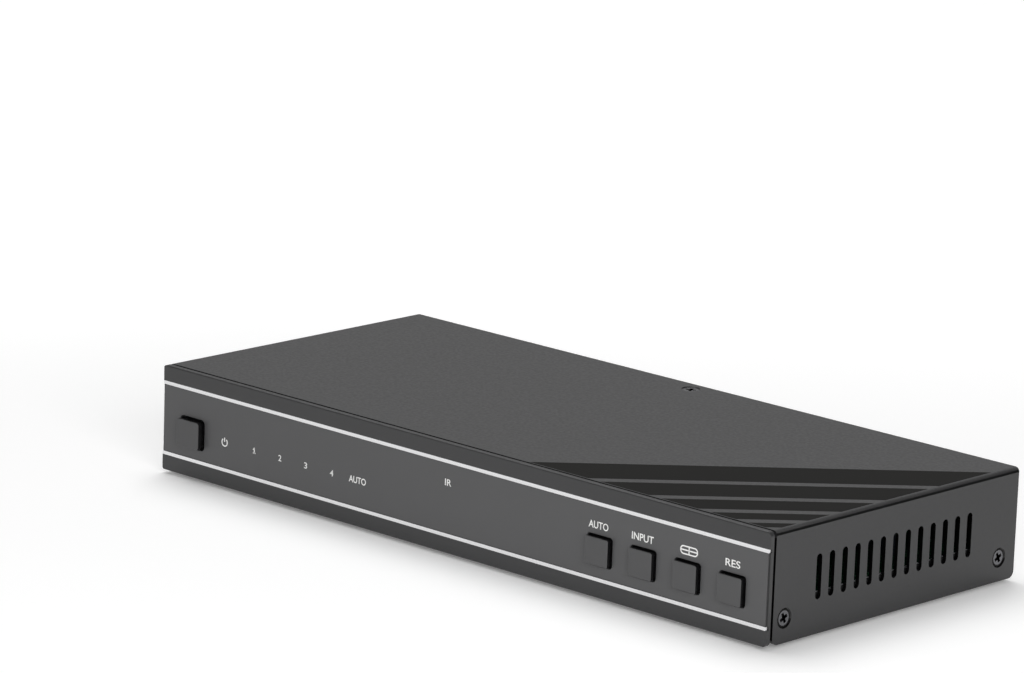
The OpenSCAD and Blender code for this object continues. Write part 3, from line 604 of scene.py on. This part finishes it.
class Surface(Enum):
    """The finishes of the box, each named for its real material and how it was made."""

    # Satin black powder coat on folded steel: near black, its grey comes from the pale surroundings in its
    # soft sheen, and it has a slight orange peel
    COVER = StripedCoat("powder_coated_steel_printed", "#282829", 0.36, grain_mm=0.9, relief_mm=0.003)
    # The same coat on the tray, with bright sheared edges that show through the slots
    TRAY = CutSteelCoat("powder_coated_steel", "#161617", 0.5, grain_mm=0.9, relief_mm=0.006)
    # Injection-moulded black ABS with a fine eroded grain, a little duller than the coat. The grain is a
    # tenth of a millimetre and is drawn coarser so that it shows
    PANEL = Finish("moulded_black_abs", "#303031", 0.40, grain_mm=0.5, relief_mm=0.004)
    # Velvet-textured polycarbonate film, printed dark grey from behind: lighter and more even than the panel
    FILM = Finish("velvet_polycarbonate_film", "#4e4e4f", 0.42, grain_mm=0.4, relief_mm=0.002, mottle=0.05)
    # Bright-rolled aluminium strip, satin along its length: a white line in pale surroundings
    TRIM = Finish("bright_rolled_aluminium", "#e0e0e1", 0.22, metallic=1.0, grain_mm=0.5, relief_mm=0.001,
                  stretch=(0.04, 1.0, 1.0), mottle=0.04)
    # Moulded ABS caps: textured faces, and polished walls that mirror the dark panel, whose near-black colour
    # is painted shade
    CAP = CapPlastic("moulded_abs_cap", "#474748", 0.42, grain_mm=0.5, relief_mm=0.003)
    # White screen-printing ink: dull, dense and slightly uneven
    INK = Finish("white_screen_ink", "#f0f0ee", 0.6, grain_mm=0.2, relief_mm=0.001, mottle=0.05)
    # Black oxide on steel screws: uneven dark metal that shines on the polished faces of the heads, with
    # painted shade, near black, in the recesses and round the rims
    BLACK_SCREW = RecessedHead("black_oxide_steel", "#666669", 0.26, metallic=0.85, grain_mm=0.9,
                               relief_mm=0.06, mottle=0.35, spread=0.1)
    # Zinc-plated steel screws: bright bluish white
    ZINC_SCREW = Finish("zinc_plated_steel", "#b9bcc0", 0.30, metallic=1.0, grain_mm=0.3, mottle=0.12)
    # Nitrile rubber, moulded and matt
    RUBBER = Finish("moulded_nitrile_rubber", "#161616", 0.85, grain_mm=0.4, relief_mm=0.01)
    # Black moulded nylon of switches and sockets: dark with a soft sheen
    NYLON = Finish("moulded_black_nylon", "#151516", 0.48, grain_mm=0.4)
    # Green solder mask over copper tracks on glass-epoxy board
    BOARD = BoardMask("green_solder_mask", "#0b3520", 0.45, grain_mm=0.5)
    # Milky silicone of surface-mounted diodes
    LED = Finish("milky_silicone_lens", "#ece6cf", 0.35)
    # Clear acrylic light guides, polished by the mould
    GUIDE = ClearAcrylic("moulded_clear_acrylic", "#f2f5f6", 0.08, spread=0.02, relief_mm=0.0005)
    # Epoxy tinted dark against daylight, with a glassy face
    RECEIVER = Finish("tinted_epoxy", "#0d0a0f", 0.15, relief_mm=0.0005)
    # Ivory nylon headers, moulded with a soft sheen
    HEADER = Finish("moulded_ivory_nylon", "#d6cfbb", 0.45)
    # Grey vinyl ribbon, extruded over its conductors in ridges
    RIBBON = RibbonVinyl("extruded_grey_vinyl", "#9a9c9f", 0.42)
    # Turned brass: yellow metal with fine rings round the axis
    BRASS = Finish("turned_brass", "#c9a44f", 0.28, metallic=1.0, stretch=(1.0, 1.0, 6.0))
    # Transfer-moulded epoxy package, matt black
    PACKAGE = Finish("moulded_epoxy_package", "#1a1a1c", 0.55, grain_mm=0.3)
    # Soft silicone pad, dull blue-grey
    SILICONE = Finish("gap_pad_silicone", "#78828f", 0.7)
    # Extruded aluminium with die lines along the fins
    EXTRUSION = Finish("extruded_aluminium", "#c3c6c9", 0.33, metallic=1.0, stretch=(1.0, 0.05, 1.0),
                       mottle=0.1)
    # Aluminium can in a shrunk sleeve, dark and satin
    CAN = SleevedCan("shrink_sleeved_aluminium", "#20242d", 0.38)
    # Pressed ferrite: dark, dull and slightly rough
    FERRITE = Finish("pressed_ferrite", "#2c2c2e", 0.6, grain_mm=0.4, relief_mm=0.01)
    # Nickel-plated folded sheet of the video sockets: warm white metal with drawing lines along the mouth
    NICKEL = Finish("nickel_plated_sheet", "#cfccc6", 0.26, metallic=1.0, stretch=(1.0, 0.08, 1.0),
                    mottle=0.08)
    # Gold flash on stamped contacts
    GOLD = Finish("gold_flashed_bronze", "#e0b65c", 0.24, metallic=1.0, grain_mm=0.3)


@dataclass
class Wardrobe:
    """Keeps one material per finish and puts it on CAD nodes and new pieces."""

    made: dict[Surface, bpy.types.Material] = field(default_factory=dict)

    def material(self, surface: Surface) -> bpy.types.Material:
        """The material of a finish, built on first use.

        Args:
            surface: the finish wanted.

        Returns:
            Its material.
        """
        if surface not in self.made:
            self.made[surface] = surface.value.material()
        return self.made[surface]

    def dress(self, surface: Surface, *nodes: str) -> None:
        """Gives CAD nodes a finish.

        Args:
            surface: the finish.
            nodes: names of the CAD nodes.
        """
        for name in nodes:
            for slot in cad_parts[name].material_slots:
                slot.material = self.material(surface)
            LOG.info("%s dressed in %s", name, surface.value.name)

    def piece(self, name: str, verts: np.ndarray, faces: list | np.ndarray, surface: Surface, slot: str,
              body: str) -> None:
        """Makes a new piece of the object out of vertices and faces.

        Args:
            name: name of the piece.
            verts: vertices in metres, one row each.
            faces: vertex indices of each face.
            surface: the finish.
            slot: the material slot that it follows; not used.
            body: the CAD body that it moves with.
        """
        mesh = bpy.data.meshes.new(name)
        mesh.from_pydata(verts.tolist(), [], [list(map(int, face)) for face in faces])
        mesh.materials.append(self.material(surface))
        made = bpy.data.objects.new(name, mesh)
        bpy.context.scene.collection.objects.link(made)
        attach(made, body)
        LOG.info("%s built with %d faces", name, len(mesh.polygons))


def sweep(path: np.ndarray, width: float, depth: float, closed: bool) -> tuple[np.ndarray, np.ndarray]:
    """A bar of rectangular section carried along a path in the XZ plane.

    Each path point gets its four section corners: half the width to either side along the path's normal, at
    the front and at depth behind it. Rows join to their neighbours, and the ends of an open path are capped.

    Args:
        path: path points as rows of x and z.
        width: width of the bar in the plane.
        depth: depth of the bar along y, from y = 0 to y = depth.
        closed: whether the path's end joins its start.

    Returns:
        Vertices and faces.
    """
    ahead = np.roll(path, -1, 0) - path
    back = path - np.roll(path, 1, 0)
    if not closed:
        ahead[-1], back[0] = back[-1], ahead[0]
    unit_ahead = ahead / np.linalg.norm(ahead, axis=1, keepdims=True)
    unit_back = back / np.linalg.norm(back, axis=1, keepdims=True)
    middle = unit_ahead + unit_back
    middle /= np.linalg.norm(middle, axis=1, keepdims=True)
    normal = np.stack([-middle[:, 1], middle[:, 0]], 1)
    mitre = 1.0 / np.clip((middle * unit_ahead).sum(1, keepdims=True), 1.0 / MITRE_LIMIT, 1.0)
    side = normal * mitre * width / 2
    corners = [(side, 0.0), (-side, 0.0), (-side, depth), (side, depth)]
    verts = np.stack([np.insert(path + shift, 1, y, axis=1) for shift, y in corners], 1).reshape(-1, 3)
    count, sides = len(path), len(corners)
    rows = np.arange(count if closed else count - 1)[:, None]
    ring = np.arange(sides)
    start, after = rows * sides, (rows + 1) % count * sides
    turn = (ring + 1) % sides
    faces = np.stack([start + ring, after + ring, after + turn, start + turn], -1).reshape(-1, sides)
    if not closed:
        faces = np.vstack([faces, ring, (count - 1) * sides + ring[::-1]])
    return verts, faces


def bars(centres: np.ndarray, size: np.ndarray) -> tuple[np.ndarray, np.ndarray]:
    """Equal boxes at the given centres: half the size to either side along each axis, as one array.

    Args:
        centres: centre of each box in metres, one row each.
        size: full size of a box along x, y and z.

    Returns:
        Vertices and faces.
    """
    signs = np.array([[-1, -1, -1], [1, -1, -1], [1, 1, -1], [-1, 1, -1],
                      [-1, -1, 1], [1, -1, 1], [1, 1, 1], [-1, 1, 1]]) / 2
    quads = np.array([[0, 3, 2, 1], [4, 5, 6, 7], [0, 1, 5, 4],
                      [1, 2, 6, 5], [2, 3, 7, 6], [3, 0, 4, 7]])
    verts = (centres[:, None] + signs[None] * size).reshape(-1, 3)
    faces = (np.arange(len(centres))[:, None, None] * len(signs) + quads[None]).reshape(-1, 4)
    return verts, faces


def arc(radius: float, start_deg: float, end_deg: float, count: int) -> np.ndarray:
    """Points on a circle's arc as rows of x and z; 0 degrees points up and angles run clockwise.

    Args:
        radius: radius of the arc.
        start_deg: first angle.
        end_deg: last angle.
        count: number of points.

    Returns:
        The points.
    """
    angle = np.radians(np.linspace(start_deg, end_deg, count))
    return np.stack([np.sin(angle), np.cos(angle)], 1) * radius


@dataclass
class Case:
    """Folded cover, tray, feet and case screws."""

    wardrobe: Wardrobe

    def dress(self) -> None:
        """Gives the sheet metal, the feet and the screws their finishes."""
        self.wardrobe.dress(Surface.COVER, "top_cover")
        self.wardrobe.dress(Surface.TRAY, "chassis_tray")
        self.wardrobe.dress(Surface.RUBBER, "rubber_feet")
        self.wardrobe.dress(Surface.BLACK_SCREW, "cover_side_screws", "cover_roof_screw", "panel_screws")


@dataclass(frozen=True)
class Mark:
    """A printed word, number or sign: what it says, its middle on the film and its size in millimetres."""

    text: str
    x: float
    z: float
    width: float
    height: float


@dataclass
class FrontPanel:
    """Moulded panel with its film, bright strips and the printed marks on the film.

    Marks are placed from the panel's left end and the case's underside, as they are read off the panel.
    """

    wardrobe: Wardrobe
    half_w: float = 110.5
    foot_h: float = 1.0
    film_y: float = -49.5
    ink_t: float = 0.02
    stroke: float = 0.36
    letter_depth: float = 0.01
    embolden: float = 0.012
    marks: tuple[Mark, ...] = (
        Mark("2", 46.65, 12.7, 1.2, 1.7), Mark("3", 56.65, 12.7, 1.2, 1.7),
        Mark("4", 66.65, 12.7, 1.3, 1.7), Mark("AUTO", 76.45, 12.75, 6.4, 1.85),
        Mark("IR", 110.0, 19.2, 2.3, 1.8), Mark("AUTO", 163.6, 19.2, 6.8, 1.95),
        Mark("INPUT", 178.8, 19.25, 7.4, 1.95), Mark("RES", 209.1, 19.25, 4.9, 1.95))
    one_mark: Mark = Mark("1", 36.65, 12.7, 1.0, 1.7)
    power_mark: Mark = Mark("power", 24.9, 12.65, 2.1, 2.1)
    power_gap_deg: float = 38.0
    power_bar: tuple[float, float] = (0.15, 1.3125)
    ring_points: int = 41
    view_mark: Mark = Mark("view", 194.5, 19.25, 5.6, 2.0)
    view_corner_r: float = 0.9
    corner_points: int = 7

    def dress(self) -> None:
        """Gives the panel, the film and the strips their finishes."""
        self.wardrobe.dress(Surface.PANEL, "front_panel")
        self.wardrobe.dress(Surface.FILM, "front_overlay")
        self.wardrobe.dress(Surface.TRIM, "upper_trim_strip", "lower_trim_strip")

    def build(self) -> None:
        """Prints the words, the numbers and the two signs on the film."""
        for index, mark in enumerate(self.marks):
            self.word(f"printed_mark_{index}", mark)
        self.number_one()
        self.power_sign()
        self.view_sign()

    def print_ink(self, name: str, mark: Mark, drawn: np.ndarray, faces: list | np.ndarray) -> None:
        """Makes a piece of ink of what is drawn around the origin, at the mark's place on the film.

        Args:
            name: name of the piece.
            mark: the mark.
            drawn: vertices in millimetres, with y from 0 at the ink's face to ink_t behind it.
            faces: vertex indices of each face.
        """
        shift = np.array([mark.x - self.half_w, self.film_y - self.ink_t, mark.z + self.foot_h])
        self.wardrobe.piece(name, (drawn + shift) * MM, faces, Surface.INK, "overlay_film", "case")

    def word(self, name: str, mark: Mark) -> None:
        """Sets a word in Blender's own face, drawn to the mark's width and height.

        Args:
            name: name of the piece.
            mark: the mark.
        """
        curve = bpy.data.curves.new("lettering", "FONT")
        curve.body = mark.text
        curve.extrude = self.letter_depth
        curve.offset = self.embolden
        letters = bpy.data.objects.new("lettering", curve)
        bpy.context.scene.collection.objects.link(letters)
        depsgraph = bpy.context.evaluated_depsgraph_get()
        mesh = bpy.data.meshes.new_from_object(letters.evaluated_get(depsgraph))
        bpy.data.objects.remove(letters)
        flat = np.empty(len(mesh.vertices) * 3)
        mesh.vertices.foreach_get("co", flat)
        flat = flat.reshape(-1, 3)
        low, high = flat.min(0), flat.max(0)
        unit = (flat - (low + high) / 2) / (high - low)
        drawn = np.stack([unit[:, 0] * mark.width, (0.5 - unit[:, 2]) * self.ink_t,
                          unit[:, 1] * mark.height], 1)
        self.print_ink(name, mark, drawn, [polygon.vertices[:] for polygon in mesh.polygons])
        bpy.data.meshes.remove(mesh)

    def strokes(self, name: str, mark: Mark, *paths: np.ndarray, ring: np.ndarray | None = None) -> None:
        """Prints a sign that is drawn with strokes of one width.

        Args:
            name: name of the piece.
            mark: the mark.
            paths: open paths around the sign's middle, as rows of x and z in millimetres.
            ring: one closed path, if the sign has one.
        """
        swept = [sweep(path, self.stroke, self.ink_t, False) for path in paths]
        if ring is not None:
            swept.append(sweep(ring, self.stroke, self.ink_t, True))
        firsts = np.cumsum([0] + [len(verts) for verts, _ in swept])
        verts = np.vstack([part for part, _ in swept])
        faces = np.vstack([part + first for (_, part), first in zip(swept, firsts)])
        self.print_ink(name, mark, verts, faces)

    def number_one(self) -> None:
        """Prints a 1 with a flag and a foot: the face's own 1 is a bar, which reads as a dash on end."""
        mark = self.one_mark
        side, end = mark.width / 2, (mark.height - self.stroke) / 2
        stem = np.array([[0.0, -mark.height / 2], [0.0, mark.height / 2]])
        flag = np.array([[-side, end - side], [-self.stroke / 4, end]])
        foot = np.array([[-side, -end], [side, -end]])
        self.strokes("printed_number_one", mark, stem, flag, foot)

    def power_sign(self) -> None:
        """Prints the common sign for power: an open ring and an upright bar through its gap."""
        gap = self.power_gap_deg
        ring = arc(self.power_mark.width / 2, gap, 360.0 - gap, self.ring_points)
        bar = np.array([[0.0, end] for end in self.power_bar])
        self.strokes("printed_power_sign", self.power_mark, ring, bar)

    def view_sign(self) -> None:
        """Prints a screen parted in four: a rounded frame and the two lines that part it."""
        radius = self.view_corner_r
        half = np.array([self.view_mark.width, self.view_mark.height]) / 2
        turns = [arc(radius, start, start + 90.0, self.corner_points)
                 for start in (0.0, 90.0, 180.0, 270.0)]
        signs = [(1, 1), (1, -1), (-1, -1), (-1, 1)]
        outline = np.vstack([turn + (half - radius) * sign for turn, sign in zip(turns, signs)])
        inner = half - self.stroke / 2
        across = np.array([[-inner[0], 0.0], [inner[0], 0.0]])
        upright = np.array([[0.0, -inner[1]], [0.0, inner[1]]])
        self.strokes("printed_view_sign", self.view_mark, across, upright, ring=outline)


@dataclass
class Buttons:
    """Five push buttons with their plungers and switches."""

    wardrobe: Wardrobe
    names: tuple[str, ...] = ("power", "auto", "input", "view", "resolution")

    def dress(self) -> None:
        """Gives the caps, the plungers and the switch housings their finishes."""
        for name in self.names:
            self.wardrobe.dress(Surface.CAP, f"{name}_button")
            self.wardrobe.dress(Surface.NYLON, f"{name}_plunger", f"{name}_switch")


@dataclass
class Electronics:
    """The two boards and what is fitted on them."""

    wardrobe: Wardrobe

    def dress(self) -> None:
        """Gives the boards and their parts their finishes."""
        for surface, nodes in {
            Surface.BOARD: ("front_board", "main_board"),
            Surface.ZINC_SCREW: ("front_board_screws", "board_screws"),
            Surface.LED: ("indicator_leds",),
            Surface.GUIDE: ("light_guides",),
            Surface.RECEIVER: ("remote_receiver",),
            Surface.HEADER: ("front_ribbon_socket", "main_ribbon_socket"),
            Surface.RIBBON: ("ribbon_cable",),
            Surface.BRASS: ("board_standoffs",),
            Surface.PACKAGE: ("main_processor",),
            Surface.SILICONE: ("thermal_pad",),
            Surface.EXTRUSION: ("heat_sink",),
            Surface.CAN: ("capacitors",),
            Surface.FERRITE: ("power_choke",),
        }.items():
            self.wardrobe.dress(surface, *nodes)


@dataclass
class RearSockets:
    """Video sockets, power inlet and audio socket, with the contacts of the video sockets."""

    wardrobe: Wardrobe
    shells: tuple[str, ...] = ("input_1_shell", "input_2_shell", "input_3_shell", "input_4_shell",
                               "output_shell")
    mouth_floor: float = 0.35
    blade_z: float = 2.3
    blade_t: float = 1.2
    contact_w: float = 0.45
    contact_t: float = 0.06
    contact_l: float = 5.0
    contact_in: float = 1.7
    pitch: float = 1.0
    upper_count: int = 10

    def dress(self) -> None:
        """Gives the shells, the mouldings and the inlet's pin their finishes."""
        self.wardrobe.dress(Surface.NICKEL, *self.shells, "power_inlet_pin")
        self.wardrobe.dress(Surface.NYLON, "socket_insulators", "power_inlet", "audio_socket")

    def build(self) -> None:
        """Lays the contacts on both sides of each socket's tongue, the lower row half a pitch across."""
        upper = (np.arange(self.upper_count) - (self.upper_count - 1) / 2) * self.pitch
        lower = upper[:-1] + self.pitch / 2
        lift = (self.blade_t + self.contact_t) / 2
        row = np.vstack([np.stack([upper, np.full_like(upper, lift)], 1),
                         np.stack([lower, np.full_like(lower, -lift)], 1)])
        centres = []
        for name in self.shells:
            low, high = (np.array(corner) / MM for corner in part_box(name))
            middle = np.array([(low[0] + high[0]) / 2, high[1] - self.contact_in - self.contact_l / 2,
                               low[2] + self.mouth_floor + self.blade_z])
            centres.append(middle + np.insert(row, 1, 0.0, axis=1))
        size = np.array([self.contact_w, self.contact_l, self.contact_t])
        verts, faces = bars(np.vstack(centres) * MM, size * MM)
        self.wardrobe.piece("video_contacts", verts, faces, Surface.GOLD, "contact_metal", "case")


@dataclass(frozen=True)
class Lamp:
    """A square soft lamp that looks at the box: its place and side in millimetres, its power in watts.

    A lamp that isn't mirrored gives light but no reflection, so no glare lies on the roof from behind.
    """

    name: str
    place: Vec3
    side: float
    power: float
    mirrored: bool = True


@dataclass
class Studio:
    """Pale floor, soft light and the camera.

    The surroundings are bright near the horizon, dim in a belt above it and bright again overhead, and they
    fall off to the right. A wide soft lamp hangs high over the left rear of the box, and a smaller one stands
    low in front of its right end.
    """

    floor_half: float = 6000.0
    floor_colour: str = "#f4f4f4"
    floor_roughness: float = 0.9
    floor_glow: float = 0.15
    backdrop_glow: float = 0.1
    backdrop_mm: tuple[float, float] = (80.0, 320.0)
    horizon: float = 0.5
    belt: float = 0.12
    zenith: float = 0.6
    steps: tuple[float, ...] = (0.3, 0.45, 0.75, 0.9)
    right_share: float = 0.3
    right_steps: tuple[float, float] = (-0.1, 0.5)
    lamps: tuple[Lamp, ...] = (
        Lamp("back_lamp", (-700.0, 450.0, 2100.0), 1800.0, 33.0),
        Lamp("front_lamp", (700.0, -500.0, 300.0), 600.0, 5.2, mirrored=False))
    eye: Vec3 = (893.340, -980.710, 368.122)
    azimuth_deg: float = 43.14603
    elevation_deg: float = 13.42202
    roll_deg: float = 2.03856
    focal_px: float = 5103.509
    image_w_px: float = 1024.0
    sensor: float = 36.0
    clip_end_m: float = 100.0

    def build(self) -> None:
        """Sets up the floor, the light, the camera and the colour view."""
        self.floor()
        self.surroundings()
        for lamp in self.lamps:
            self.light(lamp)
        self.camera()
        bpy.context.scene.view_settings.view_transform = "Standard"

    def floor(self) -> None:
        """A wide white floor that keeps the object's shadow and runs into a brighter backdrop behind it.

        Its glow is seen by the camera, in gloss and through glass, and lights nothing else.
        """
        paper = bpy.data.materials.new("matt_white_paper")
        paper.use_nodes = True
        tree = paper.node_tree
        tree.nodes.clear()
        place = add_node(tree, "ShaderNodeTexCoord", output="Object")
        azimuth = math.radians(self.azimuth_deg)
        behind = add_node(tree, "ShaderNodeVectorMath", {
            "Vector": place, "Vector_001": (-math.sin(azimuth), math.cos(azimuth), 0.0)}, "Value",
            operation="DOT_PRODUCT")
        glow = add_node(tree, "ShaderNodeMapRange", {
            "Value": behind, "From Min": self.backdrop_mm[0] * MM, "From Max": self.backdrop_mm[1] * MM,
            "To Min": self.floor_glow, "To Max": self.floor_glow + self.backdrop_glow},
            interpolation_type="SMOOTHSTEP")
        rays = add_node(tree, "ShaderNodeLightPath").node.outputs
        seen = rays["Is Camera Ray"]
        for ray in ("Is Glossy Ray", "Is Transmission Ray"):
            seen = add_node(tree, "ShaderNodeMath", {"Value": seen, "Value_001": rays[ray]},
                            operation="MAXIMUM")
        glow = add_node(tree, "ShaderNodeMath", {"Value": glow, "Value_001": seen}, operation="MULTIPLY")
        surface = add_node(tree, "ShaderNodeBsdfPrincipled", {
            "Base Color": linear(self.floor_colour), "Roughness": self.floor_roughness,
            "Specular IOR Level": 0.0, "Emission Color": WHITE, "Emission Strength": glow})
        add_node(tree, "ShaderNodeOutputMaterial", {"Surface": surface})
        mesh = bpy.data.meshes.new("floor")
        side = self.floor_half * MM
        mesh.from_pydata([(-side, -side, 0), (side, -side, 0), (side, side, 0), (-side, side, 0)], [],
                         [(0, 1, 2, 3)])
        mesh.materials.append(paper)
        made = bpy.data.objects.new("floor", mesh)
        bpy.context.scene.collection.objects.link(made)

    def surroundings(self) -> None:
        """World light over the sine of the elevation, in soft steps from horizon to zenith, dim at right."""
        world = bpy.data.worlds.new("studio")
        world.use_nodes = True
        tree = world.node_tree
        tree.nodes.clear()
        direction = add_node(tree, "ShaderNodeTexCoord", output="Generated")
        axes = add_node(tree, "ShaderNodeSeparateXYZ", {"Vector": direction}).node.outputs
        fall, rise, dim = (
            add_node(tree, "ShaderNodeMapRange", {
                "Value": axes[axis], "From Min": start, "From Max": end, "To Min": before, "To Max": after},
                interpolation_type="SMOOTHSTEP")
            for axis, (start, end), before, after in (
                ("Z", self.steps[:2], self.horizon, self.belt),
                ("Z", self.steps[2:], 0.0, self.zenith - self.belt),
                ("X", self.right_steps, 1.0, self.right_share)))
        level = add_node(tree, "ShaderNodeMath", {"Value": fall, "Value_001": rise}, operation="ADD")
        level = add_node(tree, "ShaderNodeMath", {"Value": level, "Value_001": dim}, operation="MULTIPLY")
        glow = add_node(tree, "ShaderNodeBackground", {"Color": WHITE, "Strength": level})
        add_node(tree, "ShaderNodeOutputWorld", {"Surface": glow})
        bpy.context.scene.world = world

    def light(self, lamp: Lamp) -> None:
        """Sets up one soft lamp.

        Args:
            lamp: the lamp.
        """
        glow = bpy.data.lights.new(lamp.name, "AREA")
        glow.shape = "SQUARE"
        glow.size = lamp.side * MM
        glow.energy = lamp.power
        made = bpy.data.objects.new(lamp.name, glow)
        made.visible_glossy = lamp.mirrored
        place = np.array(lamp.place)
        back = place / np.linalg.norm(place)
        right = np.cross((0.0, 0.0, 1.0), back)
        right /= np.linalg.norm(right)
        made.matrix_world = self.matrix(right, np.cross(back, right), back, place)
        bpy.context.scene.collection.objects.link(made)

    def camera(self) -> None:
        """The camera of the photograph: its eye, bearing, roll and focal length in pixels."""
        azimuth, elevation, roll = np.radians([self.azimuth_deg, self.elevation_deg, self.roll_deg])
        flat = np.array([np.cos(azimuth), np.sin(azimuth), 0.0])
        back = np.array([np.sin(azimuth) * np.cos(elevation), -np.cos(azimuth) * np.cos(elevation),
                         np.sin(elevation)])
        right = np.cos(roll) * flat + np.sin(roll) * np.cross(back, flat)
        lens = bpy.data.cameras.new("camera")
        lens.sensor_width = self.sensor
        lens.lens = self.sensor * self.focal_px / self.image_w_px
        lens.clip_end = self.clip_end_m
        made = bpy.data.objects.new("camera", lens)
        made.matrix_world = self.matrix(right, np.cross(back, right), back, np.array(self.eye))
        bpy.context.scene.collection.objects.link(made)
        bpy.context.scene.camera = made

    @staticmethod
    def matrix(right: np.ndarray, up: np.ndarray, back: np.ndarray, place: np.ndarray) -> Matrix:
        """A placing matrix out of three axes and a place in millimetres.

        Args:
            right: the local x axis.
            up: the local y axis.
            back: the local z axis, away from what is looked at.
            place: the origin in millimetres.

        Returns:
            The matrix, in metres.
        """
        rows = np.eye(4)
        rows[:3] = np.column_stack([right, up, back, place * MM])
        return Matrix(rows.tolist())


def main() -> None:
    """Builds the studio, then dresses and completes each sub-assembly."""
    logging.basicConfig(level=logging.INFO, format="%(name)s: %(message)s")
    Studio().build()
    wardrobe = Wardrobe()
    Case(wardrobe).dress()
    front = FrontPanel(wardrobe)
    front.dress()
    front.build()
    Buttons(wardrobe).dress()
    Electronics(wardrobe).dress()
    rear = RearSockets(wardrobe)
    rear.dress()
    rear.build()


if __name__ == "__main__":
    main()
